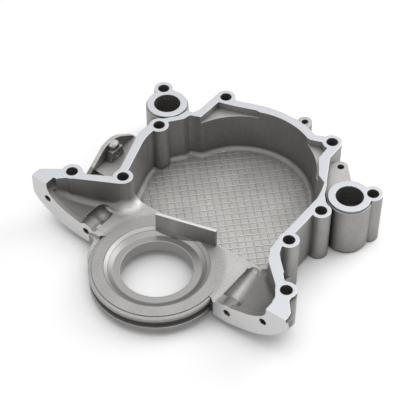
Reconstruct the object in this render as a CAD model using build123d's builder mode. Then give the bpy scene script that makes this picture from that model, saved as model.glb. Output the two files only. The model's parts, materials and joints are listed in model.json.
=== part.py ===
from build123d import *
import os

# One-piece cast timing cover of a V engine, engine side up.
# Origin: crank axis, on the inner rim of the crank seal bore.
# X runs from the left coolant port to the right one, Y towards the top of the engine,
# Z out of the machined engine face. Millimetres.

# Levels, measured down from the machined engine face
face_z = 35.0
case_depth = 49.5
floor_skin = 3.5
front_depth = 54.5
platform_depth = 30.0
hub_depth = 47.0
cut_over = 1.0

# Bolt bosses on the engine face
bolt_hole_r = 5.5
boss_r = 9.3
left_foot_boss_depth = 46.0
right_foot_boss_depth = 40.0
boss_flare_r = 11.0
corner_post_r = 4.0
corner_flare_r = 9.0
corner_post = (87.5, 52.0)

# Coolant ports
port_spacing = 207.6
port_y = 147.2
port_r = 12.7
port_ring_r = 19.3
port_ring_depth = 2.5
port_step = 1.3
pipe_chamfer = 2.5

# Chain case
cam_y = 125.2
cam_clear_r = 70.0
ledge_depth = 7.5
floor_fillet = 4.5
corner_fillet = 3.0
platform_corner_fillet = 8.0

# Crank hub
bore_r = 32.6
ledge_r = 39.5
recess_r = 43.5
recess_edge_r = 47.0
recess_depth = 2.0
platform_r = 57.7
lip_r = 60.7
lip_drop = 0.8
lip_thick = 5.0
lip_chamfer = 1.2
flange_thick = 4.5
seal_groove_r = 56.5

# Platform between the crank and the chain case
platform_y = 51.4
platform_left_x = -62.0
platform_right_x = 66.5

# Pan rail
rail_drop = 4.0
hub_notch = 3.0
rail_lip = 5.0
rail_hole_r = 3.4
rail_hole_depth = 13.0
rail_inner_x = 79.2
rail_inner_depth = 34.5
left_outer_hole = (-123.8, 19.5)
right_outer_hole = (116.2, 18.5)
foot_reach = 60.0
pocket_corner_fillet = 8.0
pocket_floor_fillet = 6.0

# Scoops behind the two inner pan bolt bosses, running in along Y
scoop_r = 9.5
scoop_axis_depth = 32.0
scoop_start_y = 7.5
scoop_end_y = 19.5
trough_start_x = 76.8
trough_start_r = 9.8
trough_end_x = 72.9
trough_end_y = 44.5
trough_end_r = 6.3
trough_axis_depth = 27.5
pan_boss_r = 9.0

# Baffle plate across the platform
baffle_thick = 2.8
baffle_left = (-28.0, 34.5)
baffle_right = (28.0, 50.0)
baffle_top_depth = 11.0
baffle_foot_depth = 34.5

# Lugs outside the case
lug_r = 7.2
lug_hole_r = 3.3
lug_hole_depth = 14.0
lug_top_depth = 10.0
lug_height = 30.0
top_lug = (11.0, 214.5)
side_lug = (72.0, 183.0)

# Fuel pump bracket on the left wall
bracket_x = -120.7
bracket_thick = 4.0
bracket_web_depth = 24.0
bracket_web_thick = 6.0
bracket_boss_y = 78.6
bracket_boss_depth = 18.0
bracket_boss_length = 10.7
bracket_dome_length = 9.9
bracket_dome_chamfer = 2.5
bracket_hole_r = 4.2

# Derived levels
floor_z = face_z - case_depth
under_z = floor_z - floor_skin
front_z = face_z - front_depth
platform_z = face_z - platform_depth
hub_z = face_z - hub_depth
rail_y = -rail_drop
notch_y = rail_y + hub_notch
port_x = port_spacing / 2

# Bolt positions on the engine face
left_foot_bolt = (-115.2, 21.8)
left_low_bolt = (-73.9, 44.6)
left_mid_bolt = (-90.9, 118.4)
left_port_ear = (-120.1, 162.4)
left_top_bolt = (-64.2, 188.7)
right_top_bolt = (52.7, 197.1)
right_port_ear = (118.8, 162.5)
right_mid_bolt = (93.1, 117.1)
right_low_bolt = (90.3, 71.1)
right_foot_bolt = (120.5, 23.1)
full_bolts = [
    left_low_bolt, left_mid_bolt, left_port_ear, left_top_bolt, right_top_bolt, right_port_ear,
    right_mid_bolt, right_low_bolt]
ports = [(-port_x, port_y), (port_x, port_y)]

# Case wall that carries the left port's pipe, as steps from the port's centre
port_wall = [(11.8, -17.7), (19.3, -8.2), (21.8, 3.8)]

# Outer outline of the chain case, clockwise from the low left bolt
case_outline = [
    (-74, 36), (-82.5, 40), (-83, 52), (-95, 86), (-98.6, 97), (-99, 121),
    *[(reach - port_x, port_y + rise) for reach, rise in port_wall],
    (-76, 151.5), (-73.3, 158), (-73.3, 189), (-52, 190.5), (-38, 196),
    (-22, 201), (-8, 203), (8, 203), (22, 200.5), (35, 195.4), (43, 199.5), (62.3, 197),
    (62.8, 178), (76.3, 152), (80, 146), (84.5, 136), (90, 129), (98, 124), (98, 112), (90, 108),
    (90, 60), (92.5, 53.5), (98, 47.5), (108, 38), (100, 20), (60, notch_y), (-60, notch_y)]

# Inner outline of the chain case below its round top, clockwise from the low left
cavity_outline = [
    (-74.5, platform_y), (-88.5, 92), (-90.3, 101), (-90.3, 112), (-86, 128), (-77.5, 139),
    (-76, 147), (-60, 153.4), (60, 156.5), (76.3, 148), (80, 137), (82, 128), (82, 63),
    (83.5, platform_y)]

# Straight-sided corners of the case at the ledges
ledge_outline = [
    (-66, 150), (-65.5, 178.5), (-50, 183), (-30, 190.5), (0, 190), (35, 187.6), (46, 191.5),
    (53.6, 187), (54.5, 171.5), (67, 153)]

# Opening from the chain case over the platform to the crank
platform_outline = [
    (-70, 60), (-70, 35), (platform_left_x, 39), (platform_left_x, -3), (-50, -70),
    (platform_right_x, -70), (platform_right_x, 44), (83, 44), (83, 60)]

# Left foot and its hollow, seen from the engine
left_foot_face = [
    (-122.5, rail_y), (-141, rail_y), (-143.5, 1), (-142.5, 5), (-137, 9.5), (-121, 21), (-112, 31),
    (-105, 27), (-102, 27), (-82.5, 38.5), (-66, 44), (-50, 44), (-59, notch_y), (-62.9, rail_y)]
left_pocket_outline = [
    (-122.6, rail_y), (-120.5, 6), (-114, 12.5), (-68, 37), (-40, 52), (-40, rail_y)]

# Right foot and its hollow, seen from the engine
right_foot_face = [
    (60, notch_y), (60, 50), (98, 47.5), (113, 31), (128, 29), (129, 15), (137.5, 5), (138.5, 0),
    (138.5, rail_y), (64.4, rail_y)]
right_foot_body = [
    (60, notch_y), (60, 50), (98, 47.5), (112, 33), (120, 32.6), (129, 27), (139, 8), (142, 1),
    (142, rail_y), (64.4, rail_y)]
right_pocket_outline = [
    (60, rail_y), (60, 44), (83.5, 52), (90, 40.5), (110, 22.5), (117.6, 11), (118.7, rail_y)]

# Pan rail edges and pocket floors as (x, depth below the engine face), ending level at the hub
left_rail_inner = [
    (-123.5, 2), (-121.5, 11), (-113, 19), (-100, 24.5), (-88, 27.5), (-62, platform_depth)]
left_floor = [
    (-123.5, 5), (-121.5, 13.5), (-113, 22), (-100, 27), (-88, 29.3), (-74, platform_depth)]
left_rail_outer = [
    (-141, 0), (-144, 7), (-140, 22), (-130, 32), (-115, 40.5), (-98, 45.5), (-76, hub_depth)]
right_rail_inner = [
    (118.7, 2), (117, 9), (111, 15), (102, 20), (90, 23.5), (74, 27.5), (66, 28)]
right_floor = [
    (118.7, 5), (116.5, 12.5), (110, 19.5), (101, 25), (92, 28), (76, 29)]
right_rail_outer = [
    (138.5, 0), (142, 8), (137, 16.5), (128, 27), (116, 36), (100, 42.5), (80, hub_depth)]

# Blend between the crank hub and the left foot, which ends the seal groove
hub_blend_outline = [
    (-50, 10), (-78, 5), (-76, rail_y), (-66, -8), (-63, -18), (-58, -27), (-51, -33), (-40, -20)]
hub_blend_depth = 34.0

# Webs outside the right wall: between pipe, side lug and case, and at the low right boss
pipe_web_outline = [
    (65.5, 186), (60, 178), (60, 160), (80, 135), (95, 129), (port_x, port_y), (96, 166), (78, 187)]
pipe_web_depth = 10.0
low_web_outline = [(86, 80), (99.5, 72), (97, 61), (99, 47), (88, 44)]
low_web_depth = 39.0

# Fuel pump bracket: its plate and boss as (y, depth below the engine face), and its web in plan
bracket_plate_side = [
    (45, 46), (45, 25.5), (69, 7.7), (76, 6), (84, 6), (92, 9.3), (110, 21.5), (112, 26), (112, 46)]
bracket_boss_side = [(68.8, 24.5), (72.3, 13), (86.4, 13), (88, 24.5)]
bracket_dome_side = [(73, 14), (74, 8), (77, 6), (82.5, 6), (85, 8), (85.8, 14)]
bracket_web_outline = [
    (bracket_x + 1, 53.5), (bracket_x + 1, 112), (-97, 112), (-97, 94), (-85, 60), (-81, 53.5)]


def outline(points):
    """Fill a closed straight-sided outline."""
    with BuildLine() as path:
        Polyline(*points, close=True)
    make_face(path.edges())


def rail_section(edge):
    """Fill the section above a curved rail edge that ends level at the hub."""
    levels = [(x, face_z - depth) for x, depth in edge]
    inner_x = platform_y if levels[0][0] > 0 else -platform_y
    with BuildLine() as path:
        Spline(*levels)
        Polyline(levels[-1], (inner_x, levels[-1][1]), (inner_x, 2 * face_z),
                 (levels[0][0], 2 * face_z), levels[0])
    make_face(path.edges())


def flare_section(post_r, flare_r):
    """Fill the section of a post whose foot curves out onto the platform."""
    with BuildLine() as profile:
        Polyline((post_r + flare_r, platform_z), (0, platform_z), (0, platform_z + flare_r),
                 (post_r, platform_z + flare_r))
        CenterArc((post_r + flare_r, platform_z + flare_r), flare_r, 180, 90)
    make_face(profile.edges())


def across(y):
    """A section plane across the engine at y, with X to the right and Z up."""
    return Plane(origin=(0, y, 0), x_dir=(1, 0, 0), z_dir=(0, -1, 0))


def pocket_floor_edges(tool):
    """The edges where a pocket's floor meets its walls, without the rail and hub ends."""
    wall = tool.edges().filter_by_position(Axis.Y, rail_y + rail_lip + 0.2, foot_reach)
    low = wall.filter_by_position(Axis.Z, hub_z, face_z - cut_over)
    far = low.filter_by(lambda e: abs((e @ 0.5).X) > platform_y + 0.2)
    return far.filter_by(lambda e: abs((e @ 0).X - (e @ 1).X) > 0.2)


# Bodies of the two feet: each plan outline cut to its outer rail curve
with BuildPart() as left_foot:
    with BuildSketch(Plane.XY.offset(hub_z)):
        outline(left_foot_face)
    extrude(amount=hub_depth)
    with BuildSketch(across(foot_reach)):
        rail_section(left_rail_outer)
    extrude(amount=foot_reach - rail_y, mode=Mode.INTERSECT)

with BuildPart() as right_foot:
    with BuildSketch(Plane.XY.offset(hub_z)):
        outline(right_foot_body)
    extrude(amount=hub_depth - port_ring_depth)
    with BuildSketch(Plane.XY.offset(face_z - port_ring_depth)):
        outline(right_foot_face)
    extrude(amount=port_ring_depth)
    with BuildSketch(across(foot_reach)):
        rail_section(right_rail_outer)
    extrude(amount=foot_reach - rail_y, mode=Mode.INTERSECT)

# Hollows of the two feet: bowls with a lip left standing along the pan rail
with BuildPart() as left_pocket:
    with BuildSketch(Plane.XY.offset(hub_z)):
        outline(left_pocket_outline)
    extrude(amount=hub_depth + cut_over)
    fillet(left_pocket.edges().filter_by(Axis.Z).filter_by(
        lambda e: (e @ 0.5).X < -rail_inner_x and (e @ 0.5).Y > 0), pocket_corner_fillet)
    with BuildSketch(across(foot_reach)):
        rail_section(left_floor)
    extrude(amount=foot_reach - rail_y - rail_lip, mode=Mode.INTERSECT)
    fillet(pocket_floor_edges(left_pocket), pocket_floor_fillet)
    with BuildSketch(across(scoop_start_y)):
        with Locations((-rail_inner_x, face_z - scoop_axis_depth)):
            Circle(scoop_r)
    extrude(amount=scoop_start_y - scoop_end_y)
    with Locations((-rail_inner_x, scoop_end_y, face_z - scoop_axis_depth)):
        Sphere(scoop_r)

with BuildPart() as right_pocket:
    with BuildSketch(Plane.XY.offset(hub_z)):
        outline(right_pocket_outline)
    extrude(amount=hub_depth + cut_over)
    fillet(right_pocket.edges().filter_by(Axis.Z).filter_by(
        lambda e: (e @ 0.5).X > 85 and (e @ 0.5).Y > 0), pocket_corner_fillet)
    with BuildSketch(across(foot_reach)):
        rail_section(right_floor)
    extrude(amount=foot_reach - rail_y - rail_lip, mode=Mode.INTERSECT)
    fillet(pocket_floor_edges(right_pocket), pocket_floor_fillet)
    with BuildSketch(across(scoop_start_y)):
        with Locations((trough_start_x, face_z - trough_axis_depth)):
            Circle(trough_start_r)
    with BuildSketch(across(trough_end_y)):
        with Locations((trough_end_x, face_z - trough_axis_depth)):
            Circle(trough_end_r)
    loft()
    with Locations((trough_end_x, trough_end_y, face_z - trough_axis_depth)):
        Sphere(trough_end_r)

with BuildPart() as rail_mouth:
    with BuildSketch(across(rail_y + 2 * rail_lip)):
        rail_section(left_rail_inner)
        rail_section(right_rail_inner)
    extrude(amount=3 * rail_lip)

# Hollow of the chain case, with its corners and its floor rounded
with BuildPart() as cavity:
    with BuildSketch(Plane.XY.offset(floor_z)):
        with Locations((0, cam_y)):
            Circle(cam_clear_r)
        outline(cavity_outline)
    extrude(amount=case_depth + cut_over)
    uprights = cavity.edges().filter_by(Axis.Z)
    platform_corner = uprights.sort_by_distance((cavity_outline[-1][0], platform_y, 0))[0]
    fillet(platform_corner, platform_corner_fillet)
    uprights = cavity.edges().filter_by(Axis.Z).filter_by_position(Axis.Y, platform_y + 9, 200)
    fillet(uprights, corner_fillet)
    fillet(cavity.faces().sort_by(Axis.Z)[0].edges(), floor_fillet)

# Coolant pipes, chamfered at their front ends
with BuildPart() as pipes:
    with BuildSketch(Plane.XY.offset(front_z)):
        with Locations(*ports):
            Circle(port_ring_r + port_step)
    extrude(amount=front_depth - port_ring_depth)
    chamfer(pipes.faces().filter_by(Plane.XY).group_by(Axis.Z)[0].edges(), pipe_chamfer)
    with BuildSketch(Plane.XY.offset(front_z)):
        with Locations(*ports):
            Circle(port_ring_r)
    extrude(amount=front_depth)

# Fuel pump bracket: plate, web and boss, and the chamfered dome over the boss
with BuildPart() as bracket:
    with BuildSketch(Plane.YZ.offset(bracket_x)):
        outline([(y, face_z - depth) for y, depth in bracket_plate_side])
    extrude(amount=bracket_thick)
    with BuildSketch(Plane.YZ.offset(bracket_x)):
        outline([(y, face_z - depth) for y, depth in bracket_dome_side])
    extrude(amount=bracket_dome_length)
    chamfer(bracket.faces().sort_by(Axis.X)[-1].edges(), bracket_dome_chamfer)
    with BuildSketch(Plane.YZ.offset(bracket_x)):
        outline([(y, face_z - depth) for y, depth in bracket_boss_side])
    extrude(amount=bracket_boss_length)
    with BuildSketch(Plane.XY.offset(face_z - bracket_web_depth)):
        outline(bracket_web_outline)
    extrude(amount=-bracket_web_thick)

# Profiles turned about the crank axis: the hub and the steps of its bore
groove_low = hub_z + flange_thick
groove_high = platform_z - lip_thick
hub_profile = [
    (bore_r, hub_z), (lip_r, hub_z), (lip_r, groove_low), (seal_groove_r, groove_low),
    (seal_groove_r, groove_high), (lip_r, groove_high), (lip_r, platform_z - lip_drop),
    (platform_r, platform_z - lip_drop), (platform_r, platform_z), (bore_r, platform_z)]
bore_profile = [
    (0, hub_z - cut_over), (bore_r, hub_z - cut_over), (bore_r, 0), (ledge_r, 0),
    (recess_r, platform_z - recess_depth), (recess_edge_r, platform_z),
    (recess_edge_r, platform_z + cut_over), (0, platform_z + cut_over)]

with BuildPart() as hub:
    with BuildSketch(Plane.XZ) as section:
        outline(hub_profile)
        chamfer(section.vertices().group_by(Axis.X)[-1].sort_by(Axis.Y)[-1], lip_chamfer)
    revolve(axis=Axis.Z)

# Foot flares that run out over the platform: at the low left boss and at the right wall's end
with BuildPart() as left_flare:
    with BuildSketch(Plane.XZ):
        flare_section(boss_r, boss_flare_r)
    revolve(axis=Axis.Z)
    with Locations((-boss_r, 0, platform_z)):
        Box(4 * boss_flare_r, 4 * boss_flare_r, boss_flare_r,
            align=(Align.MIN, Align.CENTER, Align.MIN), mode=Mode.INTERSECT)

with BuildPart() as right_flare:
    with BuildSketch(Plane.XZ):
        flare_section(corner_post_r, corner_flare_r)
    revolve(axis=Axis.Z)
    with Locations((0, 0, platform_z)):
        Box(4 * corner_flare_r, 4 * corner_flare_r, corner_flare_r,
            align=(Align.MAX, Align.MAX, Align.MIN), mode=Mode.INTERSECT)

with BuildPart() as timing_cover:
    # Chain case block, feet, crank hub and the blend between them
    with BuildSketch(Plane.XY.offset(under_z)):
        outline(case_outline)
    extrude(amount=face_z - under_z)
    with BuildSketch(Plane.XY.offset(under_z)):
        with Locations((0, platform_y - floor_skin)):
            Rectangle(2 * port_spacing, port_spacing, align=(Align.CENTER, Align.MAX))
    extrude(amount=hub_z - under_z, mode=Mode.SUBTRACT)
    add(left_foot.part)
    add(right_foot.part)
    add(hub.part)
    with BuildSketch(Plane.XY.offset(hub_z)):
        outline(hub_blend_outline)
    extrude(amount=hub_depth - hub_blend_depth)

    # Hollows of the case and the feet
    with BuildSketch(Plane.XY.offset(face_z - ledge_depth)):
        outline(ledge_outline)
    extrude(amount=ledge_depth + cut_over, mode=Mode.SUBTRACT)
    with BuildSketch(Plane.XY.offset(platform_z)):
        outline(platform_outline)
    extrude(amount=platform_depth + cut_over, mode=Mode.SUBTRACT)
    add(left_pocket.part, mode=Mode.SUBTRACT)
    add(right_pocket.part, mode=Mode.SUBTRACT)
    add(rail_mouth.part, mode=Mode.SUBTRACT)
    with Locations(left_low_bolt):
        add(left_flare.part)
    with Locations(corner_post):
        add(right_flare.part)
    add(cavity.part, mode=Mode.SUBTRACT)

    # Outside forms: pipes, bracket, lugs and webs
    add(pipes.part)
    add(bracket.part)
    with BuildSketch(Plane.XY.offset(face_z - lug_top_depth)):
        with Locations(top_lug, side_lug):
            Circle(lug_r)
            Rectangle(2 * lug_r, 3 * lug_r, align=(Align.CENTER, Align.MAX))
    extrude(amount=-lug_height)
    with BuildSketch(Plane.XY.offset(face_z - pipe_web_depth)):
        outline(pipe_web_outline)
    extrude(amount=under_z - face_z + pipe_web_depth)
    with BuildSketch(Plane.XY.offset(face_z - low_web_depth)):
        outline(low_web_outline)
    extrude(amount=under_z - face_z + low_web_depth)
    add(cavity.part, mode=Mode.SUBTRACT)

    # Bolt bosses
    with BuildSketch(Plane.XY.offset(front_z)):
        with Locations(*full_bolts):
            Circle(boss_r)
    extrude(amount=front_depth)
    with BuildSketch(Plane.XY.offset(face_z)):
        with Locations(left_foot_bolt):
            Circle(boss_r)
    extrude(amount=-left_foot_boss_depth)
    with BuildSketch(Plane.XY.offset(face_z)):
        with Locations(right_foot_bolt):
            Circle(boss_r)
    extrude(amount=-right_foot_boss_depth)

    # Inner pan bolt bosses
    with BuildSketch(across(scoop_start_y)):
        with Locations((-rail_inner_x, face_z - rail_inner_depth),
                       (rail_inner_x, face_z - rail_inner_depth)):
            Circle(pan_boss_r)
    extrude(amount=scoop_start_y - rail_y)

    # Crank hub bore and its ledge
    with BuildSketch(Plane.XZ):
        outline(bore_profile)
    revolve(axis=Axis.Z, mode=Mode.SUBTRACT)

    # Baffle plate
    with BuildSketch(Plane.XY.offset(face_z - baffle_foot_depth)):
        with BuildLine():
            Line(baffle_left, baffle_right)
        trace(line_width=baffle_thick)
    extrude(amount=baffle_foot_depth - baffle_top_depth)

    # Pan bolt holes, lug holes and the pump bracket hole
    with BuildSketch(across(rail_y)):
        with Locations((left_outer_hole[0], face_z - left_outer_hole[1]),
                       (right_outer_hole[0], face_z - right_outer_hole[1])):
            Circle(rail_hole_r)
    extrude(amount=-rail_hole_depth, mode=Mode.SUBTRACT)
    with BuildSketch(across(rail_y)):
        with Locations((-rail_inner_x, face_z - rail_inner_depth),
                       (rail_inner_x, face_z - rail_inner_depth)):
            Circle(rail_hole_r)
    extrude(amount=rail_y - scoop_start_y, mode=Mode.SUBTRACT)
    with BuildSketch(Plane.XY.offset(face_z - lug_top_depth)):
        with Locations(top_lug, side_lug):
            Circle(lug_hole_r)
    extrude(amount=-lug_hole_depth, mode=Mode.SUBTRACT)
    with BuildSketch(Plane.YZ.offset(bracket_x)):
        with Locations((bracket_boss_y, face_z - bracket_boss_depth)):
            Circle(bracket_hole_r)
    extrude(amount=bracket_boss_length, mode=Mode.SUBTRACT)

    # Bolt holes and ports
    with BuildSketch(Plane.XY.offset(face_z)):
        with Locations(*full_bolts, left_foot_bolt, right_foot_bolt):
            Circle(bolt_hole_r)
        with Locations(*ports):
            Circle(port_r)
    extrude(amount=-2 * front_depth, mode=Mode.SUBTRACT)

timing_cover.part.label = "timing_cover"
os.makedirs("parts", exist_ok=True)
export_step(timing_cover.part, "parts/timing_cover.step")
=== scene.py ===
import json
import math

import bmesh
import bpy
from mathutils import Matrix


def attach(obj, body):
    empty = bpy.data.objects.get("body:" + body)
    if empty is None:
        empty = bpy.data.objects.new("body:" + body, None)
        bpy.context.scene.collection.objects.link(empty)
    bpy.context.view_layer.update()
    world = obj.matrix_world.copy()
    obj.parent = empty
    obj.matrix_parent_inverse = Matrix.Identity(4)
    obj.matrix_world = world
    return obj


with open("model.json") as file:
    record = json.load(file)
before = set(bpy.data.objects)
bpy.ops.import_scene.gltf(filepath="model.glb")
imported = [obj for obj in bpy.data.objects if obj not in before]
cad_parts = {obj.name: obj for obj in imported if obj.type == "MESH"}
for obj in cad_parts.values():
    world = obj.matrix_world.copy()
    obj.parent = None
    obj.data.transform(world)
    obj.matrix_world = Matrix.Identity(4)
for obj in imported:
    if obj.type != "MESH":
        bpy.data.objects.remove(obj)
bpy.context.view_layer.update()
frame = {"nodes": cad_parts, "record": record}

# Levels and places on the part, in metres
FACE_Z = 0.035
FLOOR_Z = -0.0145
FRONT_Z = -0.0195
RAIL_Y = -0.004
PLATFORM_Z = 0.005
PLATFORM_Y = 0.0514
BAFFLE_Z = 0.024
CASE_Y = 0.118
COVE_HEIGHT = 0.009
FOOT_TOP_Y = 0.052
FOOT_FLOOR_Z = 0.0053
HUB_TOP_Z = 0.0055
RECESS_TOP_Z = 0.0048
RECESS_R = 0.0471
LARGEST_HOLE_R = 0.02
HOLE_MARGIN = 0.0002
# How far off a level or a radius a point still counts as on it
NEAR = 0.0003
# Radius of each step of the hub, and how far up Y the painted shade line at its edge shows
HUB_STEPS = ((0.0435, 0.05), (0.0472, 0.05), (0.0577, 0.006))
# Where painted shade or a tone fades out: radius in the case (wall shade), radius round the hub
# (hub tone), distance from X = 0 at the feet (hollow shade)
CASE_FADE = (0.076, 0.082)
HUB_FADE = (0.058, 0.064)
FOOT_FADE = (0.062, 0.072)
# How far along an axis the normal of a face points, if it is cut square or is nearly level
SQUARE = 0.995
NEARLY_LEVEL = 0.97

# Base colours of the surfaces
CAST_DARK = (0.43, 0.419, 0.408)
CAST_LIGHT = (0.635, 0.621, 0.607)
# Painted shade on steep walls, in coves and in corners
WALL_SHADE = (0.155, 0.149, 0.144)
MILLED = (0.71, 0.728, 0.762)
MILLED_LINES = (0.635, 0.652, 0.683)
RAIL = (0.70, 0.695, 0.69)
TURNED = (0.45, 0.443, 0.432)
TURNED_LINES = (0.34, 0.333, 0.324)
HUB = (0.27, 0.264, 0.258)
# Painted shade in the hollows of the feet
HOLLOW_SHADE = (0.19, 0.183, 0.176)
# Painted shade inside the holes, and the drill rings painted light as glints
HOLE_SHADE = (0.13, 0.124, 0.118)
DRILL_RING_GLINTS = (0.46, 0.45, 0.44)
# Painted highlight on edges, ridge crests, the platform rim and the baffle top
PAINTED_HIGHLIGHT = (0.80, 0.79, 0.78)
# Painted shade in creases, at the hub steps and on the ridge sides
CREASE_SHADE = (0.06, 0.056, 0.052)

METALLIC = 0.8
CUT_ROUGHNESS = 0.38
BUMP_DEPTH = 0.00022
# Edge width with its painted highlight, and reach of the painted shade in corners and creases, in
# metres
EDGE_WIDTH = 0.001
RIDGE_EDGE_WIDTH = 0.00015
CORNER_REACH = 0.03
CREASE_REACH = 0.004
BEVEL_SAMPLES = 6
OPENNESS_SAMPLES = 8
# Scale of each texture, per metre
GRAIN_SCALE = 1500.0
PORE_SCALE = 520.0
BLOTCH_SCALE = 38.0
STREAK_SCALE = 900.0
MILL_LINE_SCALE = 900.0
TURN_LINE_SCALE = 420.0
# Rings that the drill leaves, painted lighter as glints, one every 1.75 mm, in radians per metre
DRILL_TURNS = 3590.0

# Cooling grid on the floor of the chain case, in millimetres
GRID_PITCH = 7.25
GRID_MIDDLE_Y = 120.0
RIDGES_EACH_WAY = 20
SHORTEST_RIDGE = 2.0
RIDGE_WIDTH = 1.4
RIDGE_HEIGHT = 0.4
# Length of the slope at the end of a ridge, and the share of its height that is left there
RIDGE_END = 0.8
RIDGE_TIP = 0.1
# Section of a ridge, as shares of its width and its height
RIDGE_SECTION = ((-0.5, -0.3), (-0.32, 0.85), (0.0, 1.0), (0.32, 0.85), (0.5, -0.3))
# The floor is this outline and this circle, given as x, y and radius
FLOOR_PLAN = [
    (-68.5, 56.0), (-83.5, 93.0), (-85.3, 101.0), (-85.3, 111.5), (-81.5, 125.5), (-73, 136),
    (-60, 147.5), (60, 150.5), (73.5, 143.5), (75.3, 135.5), (77.2, 127), (77.2, 64), (75, 56.0)]
FLOOR_CIRCLE = (0.0, 125.2, 65.0)

WHITE = (1.0, 1.0, 1.0)
STUDIO_FLOOR = (0.88, 0.88, 0.89)
STUDIO_FLOOR_SIZE = 12
STUDIO_FLOOR_PLACE = (0, 0.08, FRONT_Z - 0.0001)
# Glow of the studio floor, what it gains far from the part, and how far the painted shadow round
# the part spreads
FLOOR_GLOW = 0.57
FAR_GLOW = 0.34
FAR_FADE = (0.5, 3.0)
SHADOW_REACH = 0.07
ROOM_LIGHT = 0.18
LAMP_AIM = (0.0, 0.09, 0.0)
# Name, place, size and power of each lamp
LAMPS = (
    ("key", (0.5, 1.2, 0.95), 1.2, 8.0),
    ("top", (0.05, 0.0, 1.5), 1.6, 5.0),
    ("front", (-0.8, -0.8, 0.8), 0.7, 0.6))


class Nodes:
    """Short calls for the nodes that a material or the world is built from."""

    def __init__(self, owner):
        owner.use_nodes = True
        self.tree = owner.node_tree
        self.tree.nodes.clear()

    def feed(self, socket, value):
        """Fill a socket from a number, a vector as a list, a colour as a tuple, or a socket."""
        if isinstance(value, tuple):
            socket.default_value = (*value, 1.0)
        elif isinstance(value, (int, float, list)):
            socket.default_value = value
        else:
            self.tree.links.new(value, socket)

    def new(self, kind, inputs=(), **settings):
        """A node of a kind, with its settings and with some of its inputs filled."""
        node = self.tree.nodes.new(kind)
        for name, value in settings.items():
            setattr(node, name, value)
        for key, value in dict(inputs).items():
            self.feed(node.inputs[key], value)
        return node

    def calc(self, op, *values):
        """One maths operation on sockets or numbers."""
        return self.new("ShaderNodeMath", enumerate(values), operation=op).outputs[0]

    def product(self, first, *others):
        """The product of two or more values."""
        for other in others:
            first = self.calc("MULTIPLY", first, other)
        return first

    def larger(self, a, b):
        """The larger of two values."""
        return self.calc("MAXIMUM", a, b)

    def below(self, value, level):
        """1 where a value is less than a level."""
        return self.calc("LESS_THAN", value, level)

    def above(self, value, level):
        """1 where a value is more than a level."""
        return self.calc("GREATER_THAN", value, level)

    def near(self, value, level):
        """1 where a value is at a level."""
        return self.calc("COMPARE", value, level, NEAR)

    def hypotenuse(self, a, b):
        """The length of a vector with these two parts."""
        return self.calc("SQRT", self.calc("ADD", self.product(a, a), self.product(b, b)))

    def vector(self, op, *values):
        """One vector operation whose result is a number."""
        node = self.new("ShaderNodeVectorMath", enumerate(values), operation=op)
        return node.outputs["Value"]

    def ramp(self, value, low, high, to_low=0.0, to_high=1.0):
        """Map a value smoothly from one range to another, clamped."""
        limits = {"Value": value, "From Min": low, "From Max": high,
                  "To Min": to_low, "To Max": to_high}
        node = self.new("ShaderNodeMapRange", limits, interpolation_type="SMOOTHSTEP")
        return node.outputs["Result"]

    def noise(self, coords, scale, detail, roughness):
        """A noise value."""
        return self.new("ShaderNodeTexNoise", {
            "Vector": coords, "Scale": scale, "Detail": detail,
            "Roughness": roughness}).outputs["Fac"]

    def wave(self, coords, scale, distortion, **settings):
        """The value of parallel or round lines."""
        return self.new("ShaderNodeTexWave", {
            "Vector": coords, "Scale": scale, "Distortion": distortion},
            **settings).outputs["Fac"]

    def mix(self, fac, a, b):
        """Blend two colours."""
        return self.new("ShaderNodeMix", {0: fac, 6: a, 7: b}, data_type="RGBA").outputs[2]

    def openness(self, distance):
        """1 on open surfaces, falling to 0 deep in a crease narrower than the distance."""
        return self.new("ShaderNodeAmbientOcclusion", {"Distance": distance},
                        samples=OPENNESS_SAMPLES).outputs["AO"]


class Surface(Nodes):
    """The nodes of a new metal, with the place and direction of each point."""

    def __init__(self, name):
        self.material = bpy.data.materials.new(name)
        super().__init__(self.material)
        geometry = self.new("ShaderNodeNewGeometry").outputs
        self.coords = self.new("ShaderNodeTexCoord").outputs["Object"]
        self.x, self.y, self.z = self.new("ShaderNodeSeparateXYZ", {0: self.coords}).outputs
        self.normal = geometry["Normal"]
        self.normal_x, self.normal_y, self.normal_z = self.new(
            "ShaderNodeSeparateXYZ", {0: geometry["True Normal"]}).outputs
        self.radius = self.hypotenuse(self.x, self.y)
        self.grain = self.noise(self.coords, GRAIN_SCALE, 4.0, 0.65)
        self.pores = self.noise(self.coords, PORE_SCALE, 3.0, 0.6)


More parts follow.
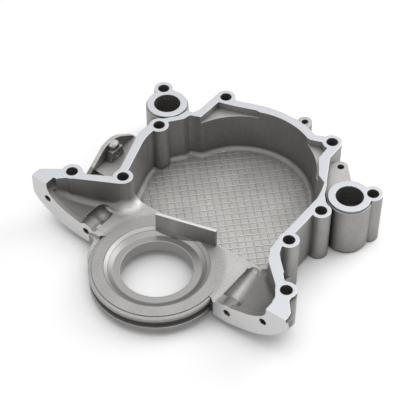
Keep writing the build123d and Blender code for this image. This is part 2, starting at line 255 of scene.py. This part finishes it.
def cast_skin_and_shade(s):
    """Colour of the raw casting: grain and blotches, with painted shade on walls, coves and
    hollows.
    """
    blotch = s.noise(s.coords, BLOTCH_SCALE, 3.0, 0.5)
    tone = s.calc("ADD", s.product(s.grain, 0.75), s.product(blotch, 0.25))
    skin = s.mix(s.ramp(tone, 0.36, 0.64), CAST_DARK, CAST_LIGHT)

    # Painted shade on steep walls, darker than floors, most of all low down and inside the chain
    # case
    case_y = s.calc("SUBTRACT", s.y, CASE_Y)
    toward = s.calc("ADD", s.product(s.normal_x, s.x), s.product(s.normal_y, case_y))
    inward = s.ramp(toward, -0.03, 0.0, 1.0, 0.0)
    inside = s.larger(s.ramp(s.hypotenuse(s.x, case_y), *CASE_FADE, 0.82, 0.46),
                      s.product(inward, 0.66))
    steep = s.ramp(s.calc("ABSOLUTE", s.normal_z), 0.12, 0.5, 1.0, 0.0)
    drawn = s.new("ShaderNodeVectorMath", {0: s.coords, 1: [1.0, 1.0, 0.12]},
                  operation="MULTIPLY").outputs[0]
    streaks = s.ramp(s.noise(drawn, STREAK_SCALE, 3.0, 0.6), 0.35, 0.65, 0.94, 1.04)
    # The painted wall shade grows darker towards the bottom
    depth = s.ramp(s.z, FLOOR_Z, FACE_Z, 1.14, 0.84)
    skin = s.mix(s.product(steep, inside, streaks, depth), skin, WALL_SHADE)

    # Painted shade in coves and corners, darker than the open faces
    cove_shade = s.product(s.ramp(s.z, FLOOR_Z, FLOOR_Z + COVE_HEIGHT, 0.72, 0.0),
                     s.below(s.normal_z, NEARLY_LEVEL), inward)
    skin = s.mix(cove_shade, skin, WALL_SHADE)
    skin = s.mix(s.ramp(s.openness(CORNER_REACH), 0.3, 0.85, 0.5, 0.0), skin, WALL_SHADE)

    # Painted shade in the hollows of the two feet as well
    hollow_shade = s.product(s.ramp(s.calc("ABSOLUTE", s.x), *FOOT_FADE, 0.0, 0.85),
                       s.below(s.y, FOOT_TOP_Y), s.above(s.z, FOOT_FLOOR_Z))
    return s.mix(hollow_shade, skin, HOLLOW_SHADE)


def machined_faces(s, colour):
    """Add the milled and turned faces; give the colour and a mask of those faces."""
    # The mill cuts the engine face, the fronts of the bosses and the pan rail
    top = s.product(s.above(s.normal_z, SQUARE), s.above(s.z, FACE_Z - NEAR))
    level = s.larger(top, s.below(s.z, FRONT_Z + NEAR))
    rail = s.product(s.below(s.normal_y, -SQUARE), s.near(s.y, RAIL_Y))
    lines = s.wave(s.coords, MILL_LINE_SCALE, 1.5, wave_type="BANDS", bands_direction="DIAGONAL")
    colour = s.mix(level, colour, s.mix(lines, MILLED, MILLED_LINES))
    colour = s.mix(rail, colour, RAIL)

    # Crank hub: a smoother ring, then the recess and bore that are turned about the crank axis
    ring = s.product(s.ramp(s.radius, *HUB_FADE, 0.45, 0.0), s.below(s.z, HUB_TOP_Z))
    colour = s.mix(ring, colour, HUB)
    turned = s.product(s.below(s.radius, RECESS_R), s.below(s.z, RECESS_TOP_Z))
    rings = s.wave(s.coords, TURN_LINE_SCALE, 0.6, wave_type="RINGS", rings_direction="Z")
    colour = s.mix(turned, colour, s.mix(rings, TURNED, TURNED_LINES))
    return colour, s.larger(s.larger(level, rail), turned)


def ridge_highlights_and_shade(s, colour):
    """Paint a highlight on the crests of the ridges at 45 degrees, and painted shade on the sides
    of all ridges.
    """
    crest = s.above(s.normal_z, NEARLY_LEVEL)
    lean = s.calc("ABSOLUTE", s.calc("SUBTRACT", s.normal_x, s.normal_y))
    colour = s.mix(s.product(crest, s.ramp(lean, 0.02, 0.08, 0.0, 0.65)), colour, PAINTED_HIGHLIGHT)
    return s.mix(s.product(s.calc("SUBTRACT", 1.0, crest), 0.5), colour, CREASE_SHADE)


def inside_holes(s):
    """1 inside the drilled holes, whose places and sizes come from the record's mounts."""
    place = (s.x, s.y, s.z)
    plans = []
    for axis in range(3):
        plan = {k: place[k] for k in range(3) if k != axis}
        plans.append(s.new("ShaderNodeCombineXYZ", plan).outputs[0])
    mask = 0.0
    for mount in frame["record"]["mounts"]:
        radius = mount["dims"].get("r_mm", 0) / 1000
        if not 0 < radius < LARGEST_HOLE_R:
            continue
        axis = max(range(3), key=lambda k: abs(mount["axis"][k]))
        centre = list(mount["pos_m"])
        inner_end = centre[axis] + mount["dims"]["length_mm"] / 1000
        centre[axis] = 0.0
        hole = s.below(s.vector("DISTANCE", plans[axis], centre), radius + HOLE_MARGIN)
        # The holes along X and Y are in line with other features, so they end at their depth
        if axis < 2:
            hole = s.product(hole, s.below(place[axis], inner_end))
        mask = s.larger(hole, mask)
    return mask


def painted_shade_and_highlights(s, colour):
    """Add painted shade lines at the hub steps, painted shade in the drilled holes with their
    rings painted light as glints, and a painted highlight on the platform rim and the baffle top.
    """
    # Painted shade lines at the steps of the hub
    for step_r, reach in HUB_STEPS:
        line = s.product(s.near(s.radius, step_r), s.below(s.z, HUB_TOP_Z),
                         s.below(s.y, reach), 0.5)
        colour = s.mix(line, colour, CREASE_SHADE)
    # Painted shade inside the holes, with the drill rings painted lighter as glints
    turns = s.calc("SINE", s.product(s.z, DRILL_TURNS))
    drilled = s.mix(s.ramp(turns, -1.0, 1.0, 0.0, 0.9), HOLE_SHADE, DRILL_RING_GLINTS)
    colour = s.mix(inside_holes(s), colour, drilled)
    # Painted highlight on the platform rim and the baffle top
    rim = s.product(s.near(s.z, PLATFORM_Z), s.near(s.y, PLATFORM_Y - NEAR))
    rim_highlight = s.product(s.larger(rim, s.near(s.z, BAFFLE_Z)), s.above(s.normal_z, 0.9), 0.8)
    return s.mix(rim_highlight, colour, PAINTED_HIGHLIGHT)


def aluminium(name, edge_width, ridges=False):
    """Cast aluminium, with its milled and turned faces picked out by place and direction, and
    painted shade and highlights.
    """
    s = Surface(name)
    colour, cut = machined_faces(s, cast_skin_and_shade(s))
    if ridges:
        colour = ridge_highlights_and_shade(s, colour)
    colour = painted_shade_and_highlights(s, colour)

    # Painted highlight on edges where they stand out, and painted shade in the creases
    bevel = s.new("ShaderNodeBevel", {"Radius": edge_width}, samples=BEVEL_SAMPLES).outputs[0]
    bend = s.vector("DOT_PRODUCT", bevel, s.normal)
    clear = s.openness(CREASE_REACH)
    edge = s.product(s.ramp(bend, 0.80, 0.99, 1.0, 0.0), s.ramp(clear, 0.8, 0.97), 0.65)
    colour = s.mix(edge, colour, PAINTED_HIGHLIGHT)
    colour = s.mix(s.ramp(clear, 0.25, 0.85, 0.75, 0.0), colour, CREASE_SHADE)

    skin_rough = s.ramp(s.pores, 0.3, 0.7, 0.42, 0.56)
    rough = s.new("ShaderNodeMix", {0: cut, 2: skin_rough, 3: CUT_ROUGHNESS}, data_type="FLOAT")
    bump = s.new("ShaderNodeBump", {
        "Height": s.calc("ADD", s.product(s.grain, 0.6), s.product(s.pores, 0.4)),
        "Strength": s.calc("SUBTRACT", 0.75, s.product(cut, 0.68)),
        "Distance": BUMP_DEPTH, "Normal": bevel})
    shader = s.new("ShaderNodeBsdfPrincipled", {
        "Metallic": METALLIC, "Base Color": colour, "Roughness": rough.outputs[0],
        "Normal": bump.outputs[0]})
    s.new("ShaderNodeOutputMaterial", {"Surface": shader.outputs[0]})
    return s.material


def clip_to_polygon(point, step, polygon):
    """Stretches of a straight line, as distances along it, that lie inside a polygon."""
    hits = []
    for (ax, ay), (bx, by) in zip(polygon, polygon[1:] + polygon[:1]):
        ex, ey = bx - ax, by - ay
        cross = step[0] * ey - step[1] * ex
        if abs(cross) < 1e-9:
            continue
        dx, dy = ax - point[0], ay - point[1]
        along = (dx * ey - dy * ex) / cross
        share = (dx * step[1] - dy * step[0]) / cross
        if 0 <= share < 1:
            hits.append(along)
    hits.sort()
    return list(zip(hits[::2], hits[1::2]))


def clip_to_circle(point, step, circle):
    """The stretch of a straight line that lies inside a circle."""
    cx, cy, r = circle
    dx, dy = point[0] - cx, point[1] - cy
    half = dx * step[0] + dy * step[1]
    rest = half * half - (dx * dx + dy * dy - r * r)
    if rest <= 0:
        return []
    root = math.sqrt(rest)
    return [(-half - root, -half + root)]


def join_stretches(stretches):
    """Merge stretches that overlap."""
    joined = []
    for low, high in sorted(stretches):
        if joined and low <= joined[-1][1]:
            joined[-1][1] = max(joined[-1][1], high)
        else:
            joined.append([low, high])
    return joined


def add_ridge(mesh, point, step, side, low, high):
    """Add one ridge along a line, from one distance along it to another, with low ends."""
    rings = []
    for along, shrink in ((low, RIDGE_TIP), (low + RIDGE_END, 1.0), (high - RIDGE_END, 1.0),
                          (high, RIDGE_TIP)):
        ring = []
        for across, up in RIDGE_SECTION:
            off = across * RIDGE_WIDTH
            px = point[0] + step[0] * along + side[0] * off
            py = point[1] + step[1] * along + side[1] * off
            pz = FLOOR_Z * 1000 + up * RIDGE_HEIGHT * (shrink if up > 0 else 1)
            ring.append(mesh.verts.new((px / 1000, py / 1000, pz / 1000)))
        rings.append(ring)
    for first, second in zip(rings, rings[1:]):
        for k in range(len(first)):
            n = (k + 1) % len(first)
            mesh.faces.new((first[k], second[k], second[n], first[n]))
    mesh.faces.new(rings[0])
    mesh.faces.new(list(reversed(rings[-1])))


def floor_grid():
    """Low ridges in two crossing directions, clipped to the floor of the chain case."""
    mesh = bmesh.new()
    for angle in (45.0, 135.0):
        step = (math.cos(math.radians(angle)), math.sin(math.radians(angle)))
        side = (-step[1], step[0])
        for number in range(-RIDGES_EACH_WAY, RIDGES_EACH_WAY + 1):
            offset = number * GRID_PITCH
            point = (side[0] * offset, GRID_MIDDLE_Y + side[1] * offset)
            inside = clip_to_polygon(point, step, FLOOR_PLAN)
            inside += clip_to_circle(point, step, FLOOR_CIRCLE)
            for low, high in join_stretches(inside):
                if high - low >= SHORTEST_RIDGE:
                    add_ridge(mesh, point, step, side, low, high)
    bmesh.ops.recalc_face_normals(mesh, faces=mesh.faces)
    data = bpy.data.meshes.new("floor_grid")
    mesh.to_mesh(data)
    mesh.free()
    piece = bpy.data.objects.new("floor_grid", data)
    bpy.context.collection.objects.link(piece)
    piece.data.materials.append(aluminium("floor_grid_with_painted_light", RIDGE_EDGE_WIDTH, ridges=True))
    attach(piece, "root")


def seen_directly(s):
    """1 for rays of the camera, of reflections and through glass, and 0 for lighting."""
    path = s.new("ShaderNodeLightPath").outputs
    return s.larger(path["Is Camera Ray"],
                    s.larger(path["Is Glossy Ray"], path["Is Transmission Ray"]))


def white_floor():
    """A large white floor that keeps the shadow, with a painted shadow where its glow fades near
    the part.
    """
    bpy.ops.mesh.primitive_plane_add(size=STUDIO_FLOOR_SIZE, location=STUDIO_FLOOR_PLACE)
    floor = bpy.context.object
    floor.name = "studio_floor"
    material = bpy.data.materials.new("studio_floor")
    s = Nodes(material)
    # Painted shadow: the floor's glow fades where the part is near
    painted_shadow_fade = s.ramp(s.openness(SHADOW_REACH), 0.2, 0.85, 0.15, 1.0)
    # Far from the part, where the lamps fade, the floor stays as white as the room
    away = s.vector("LENGTH", s.new("ShaderNodeTexCoord").outputs["Object"])
    lift = s.calc("ADD", s.product(painted_shadow_fade, FLOOR_GLOW), s.ramp(away, *FAR_FADE, 0.0, FAR_GLOW))
    glow = s.new("ShaderNodeEmission", {
        "Color": WHITE, "Strength": s.product(seen_directly(s), lift)})
    diffuse = s.new("ShaderNodeBsdfDiffuse", {"Color": STUDIO_FLOOR})
    both = s.new("ShaderNodeAddShader", {0: diffuse.outputs[0], 1: glow.outputs[0]})
    s.new("ShaderNodeOutputMaterial", {"Surface": both.outputs[0]})
    floor.data.materials.append(material)


def white_room():
    """A room that looks white and lights the part only a little."""
    world = bpy.data.worlds.new("studio")
    s = Nodes(world)
    sky = s.new("ShaderNodeBackground", {
        "Color": WHITE, "Strength": s.ramp(seen_directly(s), 0.0, 1.0, ROOM_LIGHT, 1.0)})
    s.new("ShaderNodeOutputWorld", {"Surface": sky.outputs[0]})
    bpy.context.scene.world = world


def soft_lamp(name, place, size, power):
    """A round lamp that faces the part."""
    lamp = bpy.data.lights.new(name, "AREA")
    lamp.shape = "DISK"
    lamp.size = size
    lamp.energy = power
    thing = bpy.data.objects.new(name, lamp)
    bpy.context.collection.objects.link(thing)
    thing.location = place
    dx, dy, dz = (end - start for start, end in zip(place, LAMP_AIM))
    thing.rotation_euler = (
        math.atan2(math.hypot(dx, dy), -dz), 0.0, math.atan2(dy, dx) - math.pi / 2)


cover = frame["nodes"]["timing_cover"]
cover.data.materials.clear()
# The cover's material holds painted shade and painted highlights as well as its own colour
cover.data.materials.append(aluminium("cast_aluminium_with_painted_light", EDGE_WIDTH))
floor_grid()

white_floor()
white_room()
for lamp_values in LAMPS:
    soft_lamp(*lamp_values)

# The camera of the photo, fitted to its round bosses and bores
camera_data = bpy.data.cameras.new("camera")
camera_data.sensor_fit = "HORIZONTAL"
camera_data.sensor_width = 36.0
camera_data.lens = 108.17
camera = bpy.data.objects.new("camera", camera_data)
bpy.context.collection.objects.link(camera)
camera.location = (0.4722, -0.5519, 0.8328)
camera.rotation_euler = (math.radians(43.81), 0.0, math.radians(37.0))
bpy.context.scene.camera = camera
bpy.context.scene.view_settings.view_transform = "Standard"
